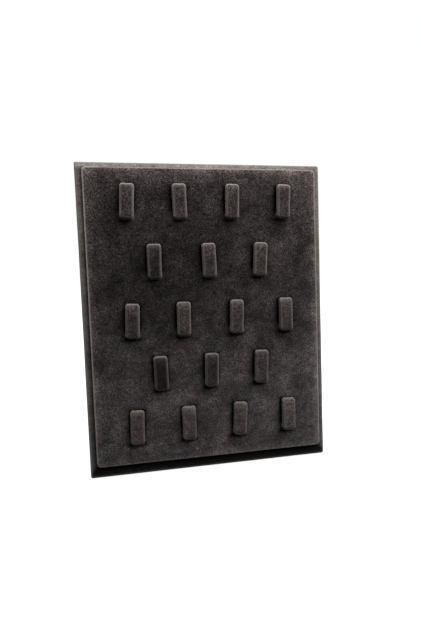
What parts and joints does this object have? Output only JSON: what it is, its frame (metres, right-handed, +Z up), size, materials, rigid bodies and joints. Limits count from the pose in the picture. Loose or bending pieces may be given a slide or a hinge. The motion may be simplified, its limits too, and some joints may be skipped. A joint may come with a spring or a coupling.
{
  "type": "ring display stand",
  "caption": "Leaning suede-covered display board whose padded panel carries rows of sprung padded clips for finger rings, propped up by a hinged easel strut with a stay ribbon.",
  "frame": {"origin": "on the ground, under the middle of the stand's box", "axes": "+Z up, the board's front faces -Y and it leans back toward +Y, +X to the right of someone who faces the board's front"},
  "size_m": [0.16, 0.076, 0.1969],
  "materials": {
    "suede": "short-napped dark warm-grey suede microfibre",
    "fibreboard": "raw medium-density fibreboard",
    "greyboard": "uncoated grey card",
    "foam": "thin soft foam sheet",
    "spring_steel": "bright rolled strip",
    "zinc_steel": "zinc-plated",
    "satin": "woven black satin ribbon"
  },
  "bodies": {
    "display": {"base_board": "fibreboard", "board_wrap": "suede", "back_liner": "suede", "pad_card": "greyboard", "pad_foam": "foam", "pad_cover": "suede", "spring_strip_1": "spring_steel", "spring_strip_2": "spring_steel", "spring_strip_3": "spring_steel", "spring_strip_4": "spring_steel", "spring_strip_5": "spring_steel", "hinge_leaf_board": "zinc_steel", "hinge_pin": "spring_steel", "hinge_rivet_board_left": "zinc_steel", "hinge_rivet_board_right": "zinc_steel", "stay_ribbon": "satin", "ribbon_rivet_board": "zinc_steel"},
    "strut": {"strut_core": "greyboard", "strut_wrap": "suede", "strut_liner": "suede", "hinge_leaf_strut": "zinc_steel", "hinge_rivet_strut_left": "zinc_steel", "hinge_rivet_strut_right": "zinc_steel", "ribbon_rivet_strut": "zinc_steel"},
    "clip_1_1": {"clip_sleeve_1_1": "suede", "clip_blade_1_1": "spring_steel"},
    "clip_1_2": {"clip_sleeve_1_2": "suede", "clip_blade_1_2": "spring_steel"},
    "clip_1_3": {"clip_sleeve_1_3": "suede", "clip_blade_1_3": "spring_steel"},
    "clip_1_4": {"clip_sleeve_1_4": "suede", "clip_blade_1_4": "spring_steel"},
    "clip_2_1": {"clip_sleeve_2_1": "suede", "clip_blade_2_1": "spring_steel"},
    "clip_2_2": {"clip_sleeve_2_2": "suede", "clip_blade_2_2": "spring_steel"},
    "clip_2_3": {"clip_sleeve_2_3": "suede", "clip_blade_2_3": "spring_steel"},
    "clip_3_1": {"clip_sleeve_3_1": "suede", "clip_blade_3_1": "spring_steel"},
    "clip_3_2": {"clip_sleeve_3_2": "suede", "clip_blade_3_2": "spring_steel"},
    "clip_3_3": {"clip_sleeve_3_3": "suede", "clip_blade_3_3": "spring_steel"},
    "clip_3_4": {"clip_sleeve_3_4": "suede", "clip_blade_3_4": "spring_steel"},
    "clip_4_1": {"clip_sleeve_4_1": "suede", "clip_blade_4_1": "spring_steel"},
    "clip_4_2": {"clip_sleeve_4_2": "suede", "clip_blade_4_2": "spring_steel"},
    "clip_4_3": {"clip_sleeve_4_3": "suede", "clip_blade_4_3": "spring_steel"},
    "clip_5_1": {"clip_sleeve_5_1": "suede", "clip_blade_5_1": "spring_steel"},
    "clip_5_2": {"clip_sleeve_5_2": "suede", "clip_blade_5_2": "spring_steel"},
    "clip_5_3": {"clip_sleeve_5_3": "suede", "clip_blade_5_3": "spring_steel"},
    "clip_5_4": {"clip_sleeve_5_4": "suede", "clip_blade_5_4": "spring_steel"}
  },
  "joints": [
    {"name": "strut_fold", "type": "hinge", "parent": "display", "child": "strut", "pos_m": [0, 0.00568, 0.14622], "axis": [-1, 0, 0], "range_deg": [0, 21], "deforming": ["stay_ribbon"]},
    {"name": "clip_1_1_flex", "type": "hinge", "parent": "display", "child": "clip_1_1", "pos_m": [-0.04986, -0.00895, 0.1648], "axis": [0.9986, -0.01, -0.0514], "range_deg": [-3, 9], "stiffness_Nm_per_rad": 0.2},
    {"name": "clip_1_2_flex", "type": "hinge", "parent": "display", "child": "clip_1_2", "pos_m": [-0.01677, -0.00895, 0.1648], "axis": [0.9998, 0.0033, 0.0171], "range_deg": [-3, 9], "stiffness_Nm_per_rad": 0.2},
    {"name": "clip_1_3_flex", "type": "hinge", "parent": "display", "child": "clip_1_3", "pos_m": [0.0166, -0.00895, 0.1648], "axis": [0.9994, -0.0067, -0.0343], "range_deg": [-3, 9], "stiffness_Nm_per_rad": 0.2},
    {"name": "clip_1_4_flex", "type": "hinge", "parent": "display", "child": "clip_1_4", "pos_m": [0.0509, -0.00895, 0.1648], "axis": [0.9994, -0.0067, -0.0343], "range_deg": [-3, 9], "stiffness_Nm_per_rad": 0.2},
    {"name": "clip_2_1_flex", "type": "hinge", "parent": "display", "child": "clip_2_1", "pos_m": [-0.0341, -0.016, 0.12854], "axis": [1, 0, 0], "range_deg": [-3, 9], "stiffness_Nm_per_rad": 0.2},
    {"name": "clip_2_2_flex", "type": "hinge", "parent": "display", "child": "clip_2_2", "pos_m": [0.00077, -0.016, 0.12854], "axis": [0.9998, 0.0033, 0.0171], "range_deg": [-3, 9], "stiffness_Nm_per_rad": 0.2},
    {"name": "clip_2_3_flex", "type": "hinge", "parent": "display", "child": "clip_2_3", "pos_m": [0.03404, -0.016, 0.12854], "axis": [0.9986, -0.01, -0.0514], "range_deg": [-3, 9], "stiffness_Nm_per_rad": 0.2},
    {"name": "clip_3_1_flex", "type": "hinge", "parent": "display", "child": "clip_3_1", "pos_m": [-0.04949, -0.02299, 0.09255], "axis": [0.9994, -0.0067, -0.0343], "range_deg": [-3, 9], "stiffness_Nm_per_rad": 0.2},
    {"name": "clip_3_2_flex", "type": "hinge", "parent": "display", "child": "clip_3_2", "pos_m": [-0.01717, -0.02299, 0.09255], "axis": [0.9998, -0.0033, -0.0171], "range_deg": [-3, 9], "stiffness_Nm_per_rad": 0.2},
    {"name": "clip_3_3_flex", "type": "hinge", "parent": "display", "child": "clip_3_3", "pos_m": [0.0173, -0.02299, 0.09255], "axis": [0.9994, -0.0067, -0.0343], "range_deg": [-3, 9], "stiffness_Nm_per_rad": 0.2},
    {"name": "clip_3_4_flex", "type": "hinge", "parent": "display", "child": "clip_3_4", "pos_m": [0.0511, -0.02299, 0.09255], "axis": [1, 0, 0], "range_deg": [-3, 9], "stiffness_Nm_per_rad": 0.2},
    {"name": "clip_4_1_flex", "type": "hinge", "parent": "display", "child": "clip_4_1", "pos_m": [-0.03273, -0.02945, 0.05933], "axis": [0.9998, 0.0033, 0.0171], "range_deg": [-3, 9], "stiffness_Nm_per_rad": 0.2},
    {"name": "clip_4_2_flex", "type": "hinge", "parent": "display", "child": "clip_4_2", "pos_m": [-0.00034, -0.02945, 0.05933], "axis": [0.9997, -0.005, -0.0257], "range_deg": [-3, 9], "stiffness_Nm_per_rad": 0.2},
    {"name": "clip_4_3_flex", "type": "hinge", "parent": "display", "child": "clip_4_3", "pos_m": [0.033, -0.02945, 0.05933], "axis": [0.9994, -0.0067, -0.0343], "range_deg": [-3, 9], "stiffness_Nm_per_rad": 0.2},
    {"name": "clip_5_1_flex", "type": "hinge", "parent": "display", "child": "clip_5_1", "pos_m": [-0.04936, -0.03585, 0.02639], "axis": [0.9998, -0.0033, -0.0171], "range_deg": [-3, 9], "stiffness_Nm_per_rad": 0.2},
    {"name": "clip_5_2_flex", "type": "hinge", "parent": "display", "child": "clip_5_2", "pos_m": [-0.0161, -0.03585, 0.02639], "axis": [1, 0, 0], "range_deg": [-3, 9], "stiffness_Nm_per_rad": 0.2},
    {"name": "clip_5_3_flex", "type": "hinge", "parent": "display", "child": "clip_5_3", "pos_m": [0.01734, -0.03585, 0.02639], "axis": [0.9986, -0.01, -0.0514], "range_deg": [-3, 9], "stiffness_Nm_per_rad": 0.2},
    {"name": "clip_5_4_flex", "type": "hinge", "parent": "display", "child": "clip_5_4", "pos_m": [0.05131, -0.03585, 0.02639], "axis": [1, -0.0017, -0.0086], "range_deg": [-3, 9], "stiffness_Nm_per_rad": 0.2}
  ]
}
